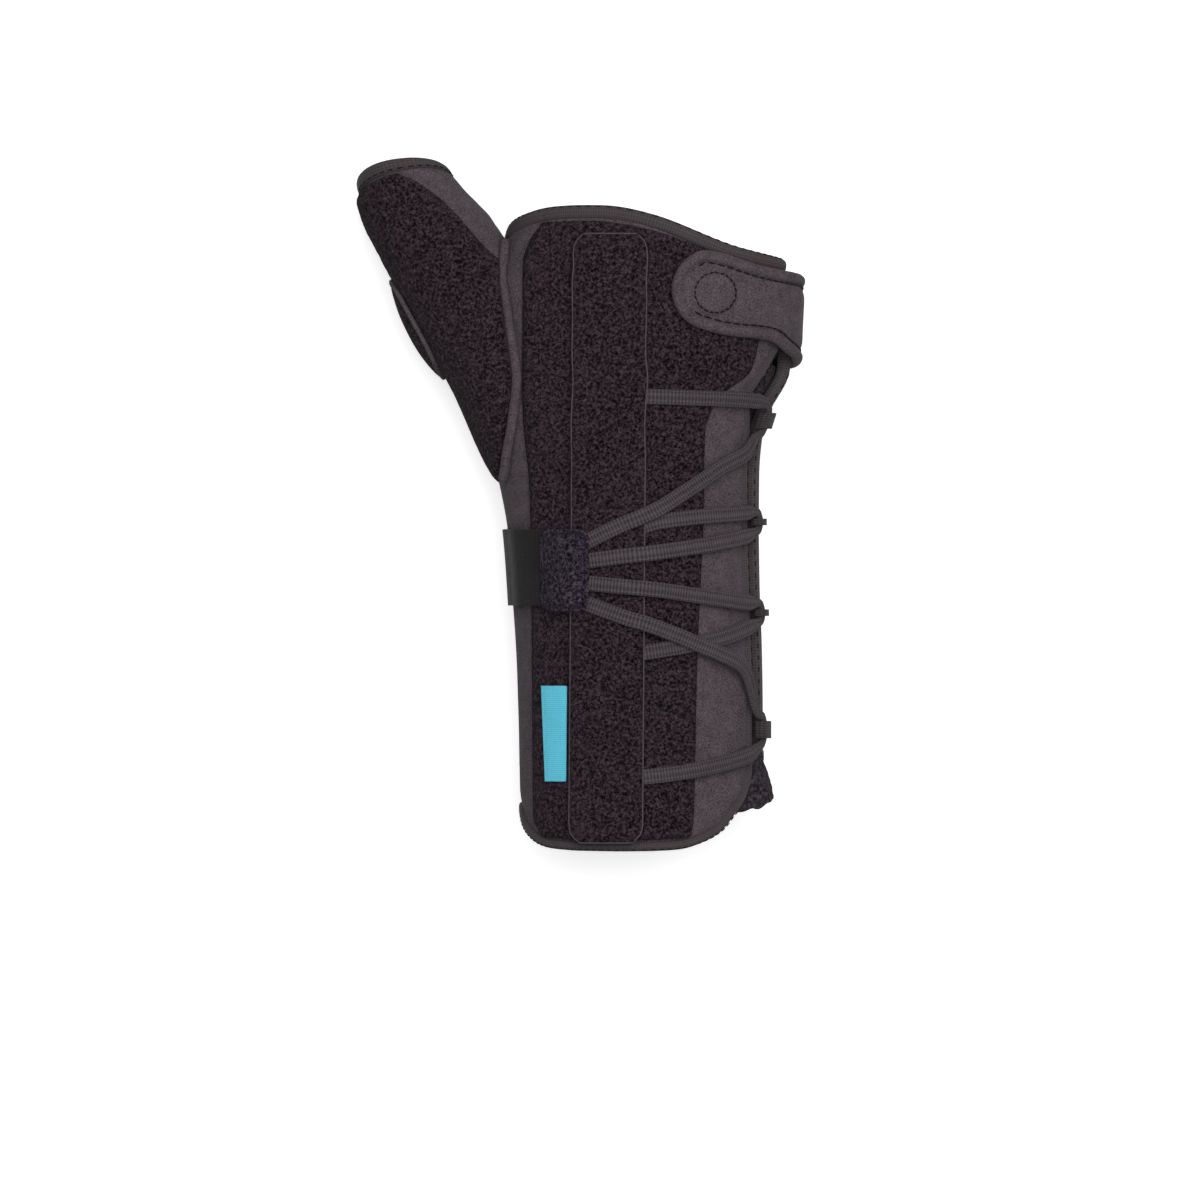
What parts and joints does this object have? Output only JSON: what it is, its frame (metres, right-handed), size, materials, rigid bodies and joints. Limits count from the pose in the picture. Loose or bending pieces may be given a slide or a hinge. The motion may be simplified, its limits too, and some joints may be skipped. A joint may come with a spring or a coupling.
{
  "type": "thumb spica splint",
  "caption": "Right-hand wrist and thumb splint: padded wrap with a thumb tube, stay pocket, hand strap, pull tab and flat laces along the little-finger side.",
  "frame": {"origin": "under the middle of the splint's box, on the surface that its palm side lies on", "axes": "+Z from the palm side up to the back of the hand, +Y from the forearm hem to the knuckles, +X from the thumb side to the little-finger side"},
  "size_m": [0.139, 0.2152, 0.0642],
  "materials": {
    "smooth_cloth": "matte knit over foam",
    "pile_cloth": "brushed loop pile",
    "binding_tape": "folded stretch tape",
    "lace_knit": "flat ribbed lace",
    "webbing": "flat woven webbing",
    "hook_cloth": "zigzag stitched patch",
    "blue_weave": "satin woven label, bare"
  },
  "bodies": {
    "root": {"wrap_laminate": "smooth_cloth", "rim_binding": "binding_tape", "edge_binding": "binding_tape", "tongue": "pile_cloth", "pile_field": "pile_cloth", "stay_pocket": "pile_cloth", "thumb_tube": "smooth_cloth", "thumb_binding": "binding_tape", "thumb_pile": "pile_cloth", "thumb_strap": "binding_tape", "thumb_piping": "binding_tape", "hand_strap": "smooth_cloth", "strap_patch": "smooth_cloth", "pull_tab": "webbing", "pull_tab_end": "hook_cloth", "woven_label": "blue_weave", "lace_1": "lace_knit", "lace_2": "lace_knit", "lace_3": "lace_knit", "lace_4": "lace_knit", "lace_guide_1": "webbing", "lace_guide_2": "webbing", "lace_guide_3": "webbing", "lace_guide_4": "webbing"}
  },
  "joints": []
}
